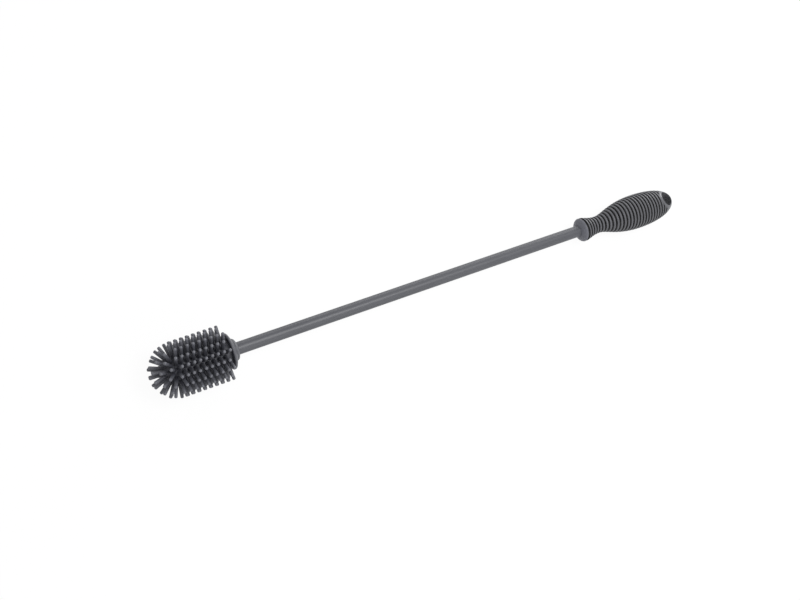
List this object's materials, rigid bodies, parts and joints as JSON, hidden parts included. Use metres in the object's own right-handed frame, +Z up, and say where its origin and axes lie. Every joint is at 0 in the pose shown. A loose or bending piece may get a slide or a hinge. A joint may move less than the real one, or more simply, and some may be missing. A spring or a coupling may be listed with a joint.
{
  "type": "silicone bottle brush",
  "caption": "Long slim bottle brush with a domed head of radial silicone pins, a round stem and a ribbed bulb grip with a hanging hole.",
  "frame": {"origin": "middle of the brush's bounding box, on the brush's own axis", "axes": "+X along the brush from the pin head to the handle, +Z up along the axis of the hanging hole"},
  "size_m": [0.4176, 0.0368, 0.0364],
  "materials": {
    "head_silicone": "matte dark grey silicone",
    "core_plastic": "satin dark grey",
    "stem_plastic": "satin dark grey",
    "rod_steel": "plain drawn steel",
    "handle_core_plastic": "satin dark grey",
    "grip_silicone": "matte dark grey silicone"
  },
  "bodies": {
    "root": {"bristle_head": "head_silicone", "head_core": "core_plastic", "stem_tube": "stem_plastic", "stem_rod": "rod_steel", "handle_core": "handle_core_plastic", "grip": "grip_silicone"}
  },
  "joints": []
}
